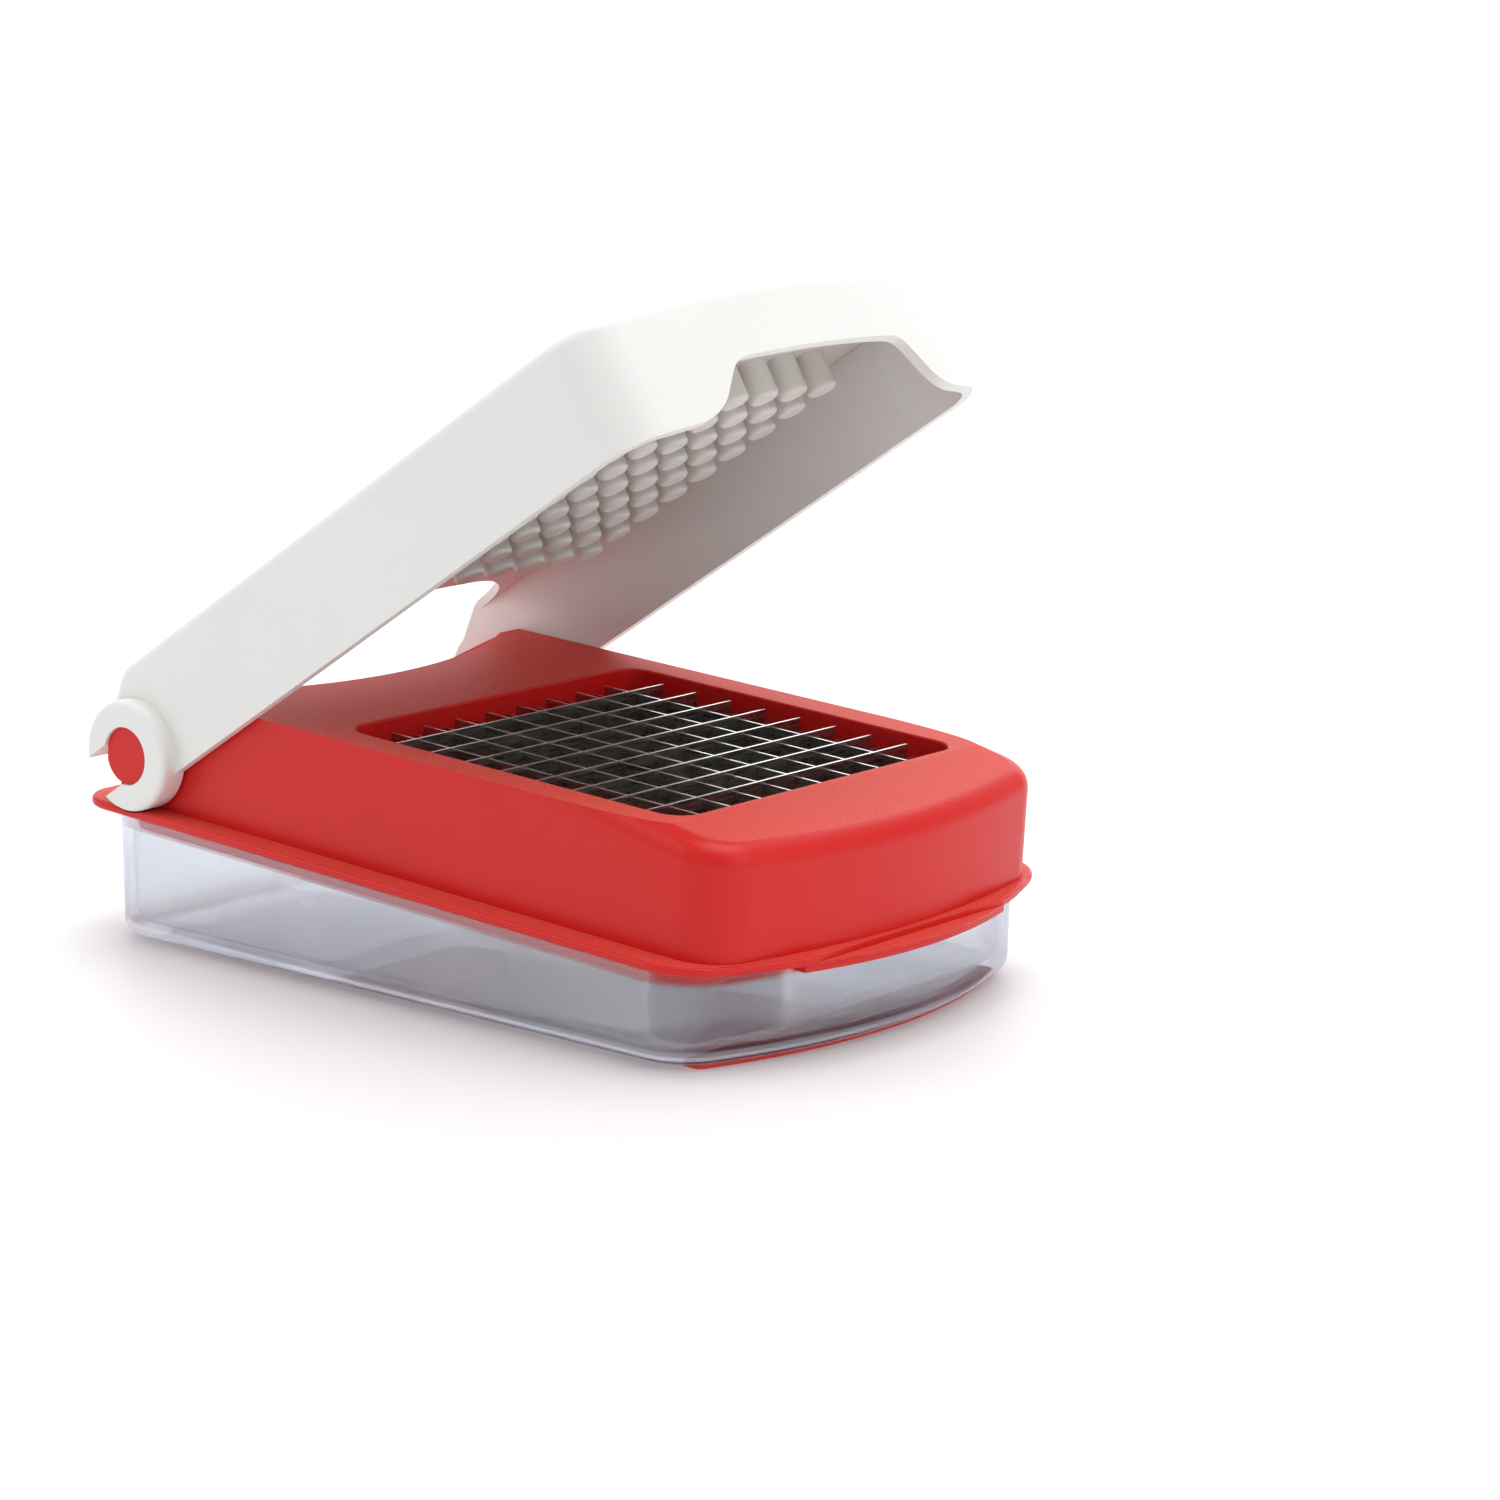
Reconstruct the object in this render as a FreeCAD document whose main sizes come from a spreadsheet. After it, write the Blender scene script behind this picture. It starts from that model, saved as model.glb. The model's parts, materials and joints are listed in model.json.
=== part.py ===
import FreeCAD, Part
import math
import os
import Sketcher

# Vegetable dicer: clear catch container, red blade frame with sixteen strip
# blades, and a white hinged lid carrying a plate of pusher pegs.
# Millimetres, +Z up, +X to the front.  The origin lies on the table, under
# the middle of the product.  The frame, blades and lid are drawn in the deck
# frame (grid centre, Z square to the grid) and then leaned into place.

SIZES = [
    ("pitch", 9.5, "blade spacing, three eighths of an inch"),
    ("blade_count", 8, "blades each way"),
    ("deck_tilt", 2.94, "degrees the deck leans down to the front"),
    ("grid_height", 48.4, "grid centre above the table"),
    ("grid_ahead", 19.7, "grid centre in front of the origin"),
    ("blade_thick", 0.5, "stainless strip"),
    ("blade_land", 42.0, "half length of the cutting edge"),
    ("blade_reach", 46.6, "half length with the moulded-in ends"),
    ("cross_top", 0.0, "cutting edge of the cross blades"),
    ("long_top", -0.8, "cutting edge of the long blades"),
    ("shoulder_top", -3.2, "top of the moulded-in ends"),
    ("blade_foot", -9.2, "lower edge of every blade"),
    ("lap_level", -4.9, "where the half laps meet"),
    ("slot_span", 66.5, "first blade to last blade"),
    ("opening_half", 44.65, "half width of the blade opening"),
    ("opening_round", 5.6, "opening corner radius"),
    ("deck_half", 52.6, "half width of the deck block"),
    ("deck_apex", 67.0, "front of the deck block"),
    ("deck_front_round", 200.0, "bow of the front wall"),
    ("deck_corner", 11.0, "front corner radius"),
    ("deck_scoop_apex", -72.2, "deepest point of the rear scoop"),
    ("deck_scoop_round", 90.0, "radius of the rear scoop"),
    ("deck_level", 1.4, "deck surface"),
    ("front_drop", -1.6, "deck surface at the front crest"),
    ("slope_start", 46.5, "where the front strip starts to fall"),
    ("crest_round", 4.6, "rounding of the top outer edge"),
    ("lip_round", 0.5, "rounding of the opening edge"),
    ("wall", 2.4, "moulded wall thickness"),
    ("cavity_half", 50.2, "hollow under the deck, half width"),
    ("cavity_apex", 60.3, "hollow under the deck, front"),
    ("cavity_front_round", 150.0, "hollow under the deck, front bow"),
    ("cavity_corner", 11.0, "hollow under the deck, corner"),
    ("cavity_scoop_apex", -69.8, "hollow under the deck, rear"),
    ("cavity_scoop_round", 92.4, "hollow under the deck, rear radius"),
    ("cavity_roof", -11.6, "roof of the lower hollow"),
    ("cell_wall", 47.2, "outer face of the blade chamber, front and rear"),
    ("front_cell_end", 58.6, "front hollow, front face"),
    ("rear_cell_end", -69.0, "rear hollow, rear face"),
    ("cell_half", 40.0, "half width of the front and rear hollows"),
    ("cell_roof", -4.4, "roof of the front and rear hollows"),
    ("cheek_rear", -101.4, "rear end of the cheeks"),
    ("cheek_front", -84.0, "front end of the cheeks"),
    ("cheek_tail", -8.8, "cheek height at its rear end"),
    ("flange_half", 58.2, "half width of the flange"),
    ("flange_rear", -109.4, "rear of the flange"),
    ("flange_apex", 72.4, "front of the flange"),
    ("flange_front_round", 118.0, "bow of the flange front"),
    ("flange_corner", 14.0, "flange front corner"),
    ("flange_back_round", 8.5, "flange rear corner"),
    ("flange_low", -25.4, "underside of the flange"),
    ("flange_top", -23.5, "top of the flange"),
    ("flange_edge", 0.7, "rounding of the flange edge"),
    ("front_lip_half", 32.3, "half width of the lowered front lip"),
    ("front_lip_step", 1.2, "how far the front lip is lowered"),
    ("front_lip_apex", 68.8, "inner face of the front lip"),
    ("front_lip_round", 114.4, "inner bow of the front lip"),
    ("rib_half", 52.0, "locating rib, half width"),
    ("rib_rear", -100.6, "locating rib, rear"),
    ("rib_apex", 62.2, "locating rib, front"),
    ("rib_front_round", 150.0, "locating rib, front bow"),
    ("rib_corner", 14.0, "locating rib, front corner"),
    ("rib_back_round", 7.0, "locating rib, rear corner"),
    ("rib_low", -29.4, "lower edge of the locating rib"),
    ("hollow_rear", -98.6, "opening inside the rib, rear"),
    ("hollow_back_round", 5.0, "opening inside the rib, rear corner"),
    ("hinge_x", -93.6, "hinge axis, along the deck"),
    ("hinge_z", -12.1, "hinge axis, below the grid"),
    ("pin_round", 6.1, "hinge pin"),
    ("pin_flat", 5.8, "flats of the hinge pin from the axis"),
    ("pin_end", 58.4, "outer end of the hinge pins"),
    ("hook_bore", 6.18, "bore of the lid hooks"),
    ("hook_round", 11.8, "outside of the lid hooks"),
    ("hook_end", 59.2, "outer face of the lid hooks"),
    ("hook_edge", 1.3, "rounding of the hook rim"),
    ("relief_round", 12.2, "groove in the flange under the hooks"),
    ("relief_end", 60.0, "outer end of that groove"),
    ("lid_open", 36.4, "degrees the lid stands open at rest"),
    ("lid_half", 55.7, "half width of the lid"),
    ("lid_apex", 72.6, "front of the lid"),
    ("lid_front_round", 150.0, "bow of the lid front"),
    ("lid_corner", 12.0, "lid front corner"),
    ("lid_rear", -99.0, "rear end of the lid arms"),
    ("lid_low", -20.5, "lower edge of the skirt"),
    ("lid_top", 5.0, "top of the lid"),
    ("lid_under", 3.0, "underside of the lid top"),
    ("lid_edge", 2.4, "rounding of the lid top edge"),
    ("lid_inner_half", 53.3, "inside of the skirt"),
    ("lid_inner_apex", 70.2, "inside of the front skirt"),
    ("lid_inner_round", 147.6, "inner bow"),
    ("lid_inner_corner", 9.6, "inner corner"),
    ("lid_inner_rear", -130.0, "the hollow runs out at the rear"),
    ("gap_front", -68.4, "front edge of the gap between the arms"),
    ("gap_round", 20.0, "inner corner where top meets arm"),
    ("arm_round", 6.5, "rounding at the rear top of the arms"),
    ("arm_shoulder_x", -88.0, "where the arm top starts to fall"),
    ("arm_shoulder_z", -2.5, "where the fall meets the arm end"),
    ("arm_beyond", -140.0, "clear of the arms, behind"),
    ("relief_below", -40.0, "clear of the skirt, below"),
    ("notch_top", -9.6, "roof of the finger notch"),
    ("notch_half_top", 25.6, "half width of the notch at its roof"),
    ("notch_half_low", 34.6, "half width of the notch at the skirt edge"),
    ("notch_round", 6.5, "rounding of the notch roof corners"),
    ("notch_foot_round", 12.0, "rounding where the notch meets the skirt edge"),
    ("plate_half", 53.1, "pusher plate, half width"),
    ("plate_apex", 70.0, "pusher plate, front"),
    ("plate_front_round", 147.4, "pusher plate, front bow"),
    ("plate_corner", 9.4, "pusher plate, front corner"),
    ("plate_rear", -54.0, "pusher plate, rear"),
    ("plate_back_round", 5.0, "pusher plate, rear corner"),
    ("plate_low", 1.8, "underside of the pusher plate"),
    ("peg_tip", -6.4, "end of the pegs"),
    ("peg_round", 3.3, "peg radius at the tip"),
    ("peg_taper", 1.5, "draft of the pegs in degrees"),
    ("peg_edge", 1.0, "rounding of the peg ends"),
    ("peg_start", -38.0, "first peg row from the centre"),
    ("peg_span", 76.0, "first peg row to last"),
    ("tub_half", 55.0, "container at its floor, half width"),
    ("tub_rear", -105.2, "container at its floor, rear"),
    ("tub_apex", 66.0, "container at its floor, front"),
    ("tub_front_round", 120.0, "container front bow"),
    ("tub_corner", 14.0, "container front corner"),
    ("tub_back_round", 10.0, "container rear corner"),
    ("tub_draft", 1.1, "draft of the container walls in degrees"),
    ("tub_low", 0.9, "container floor above the table"),
    ("tub_high", 34.0, "blank height before the rim is cut"),
    ("tub_floor", 2.4, "container floor thickness"),
    ("tub_inner_half", 52.6, "inside of the container, half width"),
    ("tub_inner_rear", -102.8, "inside of the container, rear"),
    ("tub_inner_apex", 63.6, "inside of the container, front"),
    ("tub_inner_front_round", 117.6, "inside front bow"),
    ("tub_inner_corner", 11.6, "inside front corner"),
    ("tub_inner_back_round", 7.6, "inside rear corner"),
    ("tub_edge", 3.4, "outer rounding of the floor edge"),
    ("tub_inner_edge", 3.0, "inner rounding of the floor edge"),
    ("rim_gap", 0.3, "clearance under the flange"),
    ("rim_edge", 0.6, "rounding of the rim"),
    ("foot_front", 62.4, "front strip foot, front edge"),
    ("foot_back", 48.0, "front strip foot, rear edge"),
    ("foot_half", 48.0, "front strip foot, half length"),
    ("foot_bow", 125.0, "front strip foot, front bow"),
    ("foot_round", 1.5, "front strip foot, corner radius"),
    ("nub_x", -93.0, "rear foot position"),
    ("nub_y", 42.0, "rear foot position, half spacing"),
    ("nub_round", 4.0, "rear foot radius"),
    ("first_slot_low", -33.53, "first slot, low side"),
    ("first_slot_high", -32.97, "first slot, high side"),
    ("below_blades", -12.0, "clear of the blades, below"),
    ("above_blades", 3.0, "clear of the blades, above"),
    ("sky", 20.0, "clear of the frame, above"),
    ("flange_beyond", 80.0, "clear of the flange, in front"),
    ("front_drop_beyond", -4.15, "the front slope carried out to there"),
    ("deck_front_start", 68.4, "start of the lowered flange, inside the deck wall"),
    ("lip_outer_apex", 71.9, "outer face of the front lip"),
    ("rib_inner_apex", 60.3, "opening inside the rib, front"),
    ("cheek_inner", 48.6, "inner face of the cheeks"),
    ("cheek_slope_start", -85.0, "where the cheeks start to fall"),
    ("cheek_beyond", -103.0, "clear of the cheeks, behind"),
    ("pin_root", 51.0, "pins start inside the cheeks"),
    ("deck_half_clear", 53.1, "inner end of the hook space"),
    ("relief_inner", 6.1, "the groove leaves the pin standing"),
    ("notch_start", 50.0, "the notch cuts from inside the front skirt"),
    ("hook_beyond", -112.0, "clear of the hooks, behind"),
    ("mouth_low", -16.7, "lower side of the hook mouth"),
    ("mouth_high", -7.5, "upper side of the hook mouth"),
    ("tiny_round", 0.8, "small corner radius"),
]

doc = FreeCAD.newDocument("vegetable_dicer")
sheet = doc.addObject("Spreadsheet::Sheet", "Sizes")
for row, (alias, number, note) in enumerate(SIZES, start=1):
    sheet.set("A%d" % row, alias)
    sheet.set("B%d" % row, str(number))
    sheet.setAlias("B%d" % row, alias)
    sheet.set("C%d" % row, note)
doc.recompute()

NUMBERS = {alias: float(number) for alias, number, _ in SIZES}


def size(name):
    """Value of a sheet size; a leading minus gives its negative."""
    if name.startswith("-"):
        return -NUMBERS[name[1:]]
    return NUMBERS[name]


def formula(name):
    """Expression that reads the same size from the sheet."""
    if name.startswith("-"):
        return "-Sizes." + name[1:]
    return "Sizes." + name


def new_body(label):
    body = doc.addObject("PartDesign::Body", label)
    body.Label = label
    return body


def origin_plane(body, role):
    for feature in body.Origin.OriginFeatures:
        if feature.Role == role:
            return feature
    raise ValueError("no plane " + role)


def new_sketch(body, role, name, level=None):
    """Sketch on an origin plane, lifted along its normal by a sheet size."""
    sketch = body.newObject("Sketcher::SketchObject", name)
    sketch.AttachmentSupport = (origin_plane(body, role), [""])
    sketch.MapMode = "FlatFace"
    if level:
        sketch.AttachmentOffset = FreeCAD.Placement(
            FreeCAD.Vector(0, 0, size(level)), FreeCAD.Rotation())
        sketch.setExpression("AttachmentOffset.Base.z", formula(level))
    return sketch


def drive(sketch, kind, targets, name):
    """Dimension a sketch from the sheet."""
    index = sketch.addConstraint(Sketcher.Constraint(kind, *targets, size(name)))
    sketch.setExpression("Constraints[%d]" % index, formula(name))


def polygon(sketch, points):
    """Closed polygon; every corner is placed by two sheet sizes."""
    count = len(points)
    corners = [FreeCAD.Vector(size(a), size(b), 0) for a, b in points]
    first = sketch.GeometryCount
    for index in range(count):
        following = corners[(index + 1) % count]
        sketch.addGeometry(Part.LineSegment(corners[index], following))
    for index in range(count):
        following = first + (index + 1) % count
        sketch.addConstraint(Sketcher.Constraint("Coincident", first + index, 2, following, 1))
    for index, (across, up) in enumerate(points):
        drive(sketch, "DistanceX", (-1, 1, first + index, 1), across)
        drive(sketch, "DistanceY", (-1, 1, first + index, 1), up)


def rectangle(sketch, left, right, low, high):
    polygon(sketch, [(left, low), (right, low), (right, high), (left, high)])


def circle(sketch, across, up, radius):
    centre = FreeCAD.Vector(size(across), size(up), 0)
    index = sketch.addGeometry(Part.Circle(centre, FreeCAD.Vector(0, 0, 1), size(radius)))
    drive(sketch, "DistanceX", (-1, 1, index, 3), across)
    drive(sketch, "DistanceY", (-1, 1, index, 3), up)
    drive(sketch, "Radius", (index,), radius)


def add_arc(sketch, centre, radius, start, end):
    round_edge = Part.Circle(FreeCAD.Vector(centre[0], centre[1], 0), FreeCAD.Vector(0, 0, 1), radius)
    return sketch.addGeometry(Part.ArcOfCircle(round_edge, start, end))


def add_line(sketch, start, end):
    return sketch.addGeometry(Part.LineSegment(FreeCAD.Vector(start[0], start[1], 0),
                                               FreeCAD.Vector(end[0], end[1], 0)))


def bowed_front(sketch, half, apex, front_round, corner, rear_start):
    """Straight sides, rounded corners and bowed front, drawn from the near
    side round to the far side.  Returns the geometry numbers."""
    side = size(half)
    bow = size(front_round)
    small = size(corner)
    bow_centre = size(apex) - bow
    corner_x = bow_centre + math.sqrt((bow - small) ** 2 - (side - small) ** 2)
    turn = math.atan2(small - side, corner_x - bow_centre)
    near = add_line(sketch, (rear_start, -side), (corner_x, -side))
    near_corner = add_arc(sketch, (corner_x, small - side), small, -math.pi / 2, turn)
    front = add_arc(sketch, (bow_centre, 0), bow, turn, -turn)
    far_corner = add_arc(sketch, (corner_x, side - small), small, -turn, math.pi / 2)
    far = add_line(sketch, (corner_x, side), (rear_start, side))
    chain = [near, near_corner, front, far_corner, far]
    for before, after in zip(chain, chain[1:]):
        sketch.addConstraint(Sketcher.Constraint("Tangent", before, 2, after, 1))
    sketch.addConstraint(Sketcher.Constraint("Horizontal", near))
    sketch.addConstraint(Sketcher.Constraint("Horizontal", far))
    sketch.addConstraint(Sketcher.Constraint("PointOnObject", front, 3, -1))
    sketch.addConstraint(Sketcher.Constraint("Equal", near_corner, far_corner))
    drive(sketch, "Radius", (near_corner,), corner)
    drive(sketch, "Radius", (front,), front_round)
    drive(sketch, "DistanceY", (near, 1, -1, 1), half)
    drive(sketch, "DistanceY", (-1, 1, far, 2), half)
    index = sketch.addConstraint(Sketcher.Constraint("DistanceX", front, 3, -1, 1, -bow_centre))
    sketch.setExpression("Constraints[%d]" % index,
                         "Sizes.%s - Sizes.%s" % (front_round, apex))
    return near, far


def outline(sketch, prefix_half, rear, apex, front_round, corner, back_round):
    """Plan with a bowed front and a flat rear with rounded corners."""
    back = size(back_round)
    side = size(prefix_half)
    end = size(rear)
    near, far = bowed_front(sketch, prefix_half, apex, front_round, corner, end + back)
    far_back = add_arc(sketch, (end + back, side - back), back, math.pi / 2, math.pi)
    flat = add_line(sketch, (end, side - back), (end, back - side))
    near_back = add_arc(sketch, (end + back, back - side), back, math.pi, 1.5 * math.pi)
    chain = [far, far_back, flat, near_back, near]
    for before, after in zip(chain, chain[1:]):
        sketch.addConstraint(Sketcher.Constraint("Tangent", before, 2, after, 1))
    sketch.addConstraint(Sketcher.Constraint("Vertical", flat))
    sketch.addConstraint(Sketcher.Constraint("Equal", far_back, near_back))
    drive(sketch, "Radius", (far_back,), back_round)
    drive(sketch, "DistanceX", (-1, 1, flat, 1), rear)


def scooped_outline(sketch, half, apex, front_round, corner, scoop_apex, scoop_round):
    """Plan with a bowed front and a concave rear."""
    side = size(half)
    scoop = size(scoop_round)
    centre = size(scoop_apex) - scoop
    end = centre + math.sqrt(scoop ** 2 - side ** 2)
    near, far = bowed_front(sketch, half, apex, front_round, corner, end)
    swing = math.asin(side / scoop)
    rear = add_arc(sketch, (centre, 0), scoop, -swing, swing)
    sketch.addConstraint(Sketcher.Constraint("Coincident", rear, 1, near, 1))
    sketch.addConstraint(Sketcher.Constraint("Coincident", rear, 2, far, 2))
    sketch.addConstraint(Sketcher.Constraint("PointOnObject", rear, 3, -1))
    drive(sketch, "Radius", (rear,), scoop_round)
    index = sketch.addConstraint(Sketcher.Constraint("DistanceX", rear, 3, -1, 1, -centre))
    sketch.setExpression("Constraints[%d]" % index,
                         "Sizes.%s - Sizes.%s" % (scoop_round, scoop_apex))


def rounded_slot(sketch, rear, front, half, corner):
    """Wide slot, square at the rear and with rounded corners at the front."""
    side = size(half)
    small = size(corner)
    start = size(rear)
    end = size(front)
    near = add_line(sketch, (start, -side), (end - small, -side))
    near_corner = add_arc(sketch, (end - small, small - side), small, -math.pi / 2, 0)
    face = add_line(sketch, (end, small - side), (end, side - small))
    far_corner = add_arc(sketch, (end - small, side - small), small, 0, math.pi / 2)
    far = add_line(sketch, (end - small, side), (start, side))
    back = add_line(sketch, (start, side), (start, -side))
    chain = [near, near_corner, face, far_corner, far]
    for before, after in zip(chain, chain[1:]):
        sketch.addConstraint(Sketcher.Constraint("Tangent", before, 2, after, 1))
    sketch.addConstraint(Sketcher.Constraint("Coincident", far, 2, back, 1))
    sketch.addConstraint(Sketcher.Constraint("Coincident", back, 2, near, 1))
    sketch.addConstraint(Sketcher.Constraint("Horizontal", near))
    sketch.addConstraint(Sketcher.Constraint("Horizontal", far))
    sketch.addConstraint(Sketcher.Constraint("Vertical", back))
    sketch.addConstraint(Sketcher.Constraint("Vertical", face))
    drive(sketch, "Radius", (near_corner,), corner)
    drive(sketch, "DistanceY", (near, 1, -1, 1), half)
    drive(sketch, "DistanceY", (-1, 1, far, 2), half)
    drive(sketch, "DistanceX", (-1, 1, back, 1), rear)
    drive(sketch, "DistanceX", (-1, 1, face, 1), front)


def pad(body, sketch, name, length, reverse=False, draft=None):
    """Pad by an expression; reverse goes against the sketch normal."""
    feature = body.newObject("PartDesign::Pad", name)
    feature.Profile = sketch
    feature.setExpression("Length", length)
    feature.Reversed = reverse
    if draft:
        feature.setExpression("TaperAngle", draft)
    doc.recompute()
    return feature


def pocket(body, sketch, name, length, reverse=False, draft=None):
    """Pocket by an expression; it cuts against the sketch normal unless reversed."""
    feature = body.newObject("PartDesign::Pocket", name)
    feature.Profile = sketch
    feature.setExpression("Length", length)
    feature.Reversed = reverse
    if draft:
        feature.setExpression("TaperAngle", draft)
    doc.recompute()
    return feature


def pocket_through(body, sketch, name):
    """Pocket through everything, both ways."""
    feature = body.newObject("PartDesign::Pocket", name)
    feature.Profile = sketch
    feature.Type = "ThroughAll"
    feature.Midplane = True
    doc.recompute()
    return feature


def pattern(body, source, name, sketch, axis, length, count):
    feature = body.newObject("PartDesign::LinearPattern", name)
    feature.Originals = [source]
    feature.Direction = (sketch, [axis])
    feature.setExpression("Length", length)
    feature.setExpression("Occurrences", count)
    body.Tip = feature
    doc.recompute()
    return feature


def mirror(body, sources, name):
    """Mirror features across the centre plane of the product."""
    feature = body.newObject("PartDesign::Mirrored", name)
    feature.Originals = sources
    feature.MirrorPlane = (origin_plane(body, "XZ_Plane"), [""])
    body.Tip = feature
    doc.recompute()
    return feature


def round_edges(body, name, radius, chosen):
    """Fillet the edges of the present tip for which chosen(box) holds."""
    base = body.Tip
    names = []
    for index, edge in enumerate(base.Shape.Edges, start=1):
        if chosen(edge.BoundBox):
            names.append("Edge%d" % index)
    if not names:
        raise ValueError("no edges for " + name)
    feature = body.newObject("PartDesign::Fillet", name)
    feature.Base = (base, names)
    feature.setExpression("Radius", formula(radius))
    doc.recompute()
    return feature


def flat_at(box, level):
    """True for an edge lying in the plane z = level."""
    return abs(box.ZMin - level) < 0.02 and abs(box.ZMax - level) < 0.02


def deck_placement():
    """Deck frame to world: lean about Y, then lift to the grid height."""
    lean = FreeCAD.Rotation(FreeCAD.Vector(0, 1, 0), size("deck_tilt"))
    return FreeCAD.Placement(FreeCAD.Vector(size("grid_ahead"), 0, size("grid_height")), lean)


def table_placement():
    """Container frame to world: the same shift along X, no lean."""
    return FreeCAD.Placement(FreeCAD.Vector(size("grid_ahead"), 0, 0), FreeCAD.Rotation())


def lid_placement():
    """Closed lid to its resting, open position."""
    swing = FreeCAD.Rotation(FreeCAD.Vector(0, 1, 0), -size("lid_open"))
    axis = FreeCAD.Vector(size("hinge_x"), 0, size("hinge_z"))
    return deck_placement() * FreeCAD.Placement(FreeCAD.Vector(), swing, axis)


def make_container():
    """Clear injection-moulded tub with two small moulded feet at the rear."""
    body = new_body("container")
    blank = new_sketch(body, "XY_Plane", "container_plan", "tub_low")
    outline(blank, "tub_half", "tub_rear", "tub_apex", "tub_front_round",
            "tub_corner", "tub_back_round")
    pad(body, blank, "container_blank", "Sizes.tub_high", draft="Sizes.tub_draft")
    low = size("tub_low")
    round_edges(body, "container_floor_edge", "tub_edge", lambda box: flat_at(box, low))

    inside = new_sketch(body, "XY_Plane", "container_inside")
    inside.setExpression("AttachmentOffset.Base.z", "Sizes.tub_low + Sizes.tub_floor")
    outline(inside, "tub_inner_half", "tub_inner_rear", "tub_inner_apex",
            "tub_inner_front_round", "tub_inner_corner", "tub_inner_back_round")
    pocket(body, inside, "container_hollow", "Sizes.tub_high", reverse=True,
           draft="Sizes.tub_draft")
    floor = low + size("tub_floor")
    round_edges(body, "container_inner_edge", "tub_inner_edge", lambda box: flat_at(box, floor))

    # The rim follows the leaning flange, one small gap below it.
    lean = math.radians(size("deck_tilt"))
    level = size("flange_low") - size("rim_gap")
    middle = size("grid_height") + level / math.cos(lean)
    rise = 120.0 * math.tan(lean)
    trim = new_sketch(body, "XZ_Plane", "container_trim")
    above = [(-120.0, middle + rise), (120.0, middle - rise), (120.0, 60.0), (-120.0, 60.0)]
    for start, end in zip(above, above[1:] + above[:1]):
        add_line(trim, start, end)
    for index in range(4):
        trim.addConstraint(Sketcher.Constraint("Coincident", index, 2, (index + 1) % 4, 1))
        trim.addConstraint(Sketcher.Constraint("Block", index))
    pocket_through(body, trim, "container_rim")
    round_edges(body, "container_rim_edge", "rim_edge",
                lambda box: box.ZMin > middle - rise - 1.0)

    nubs = new_sketch(body, "XY_Plane", "container_feet", "tub_low")
    circle(nubs, "nub_x", "-nub_y", "nub_round")
    circle(nubs, "nub_x", "nub_y", "nub_round")
    pad(body, nubs, "container_nubs", "Sizes.tub_low", reverse=True)
    body.Placement = table_placement()
    return body


def make_front_foot():
    """Soft anti-slip strip under the front edge of the tub."""
    body = new_body("front_foot")
    plan = new_sketch(body, "XY_Plane", "foot_plan")
    outline(plan, "foot_half", "foot_back", "foot_front", "foot_bow",
            "foot_round", "foot_round")
    pad(body, plan, "foot_strip", "Sizes.tub_low")
    body.Placement = table_placement()
    return body


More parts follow.
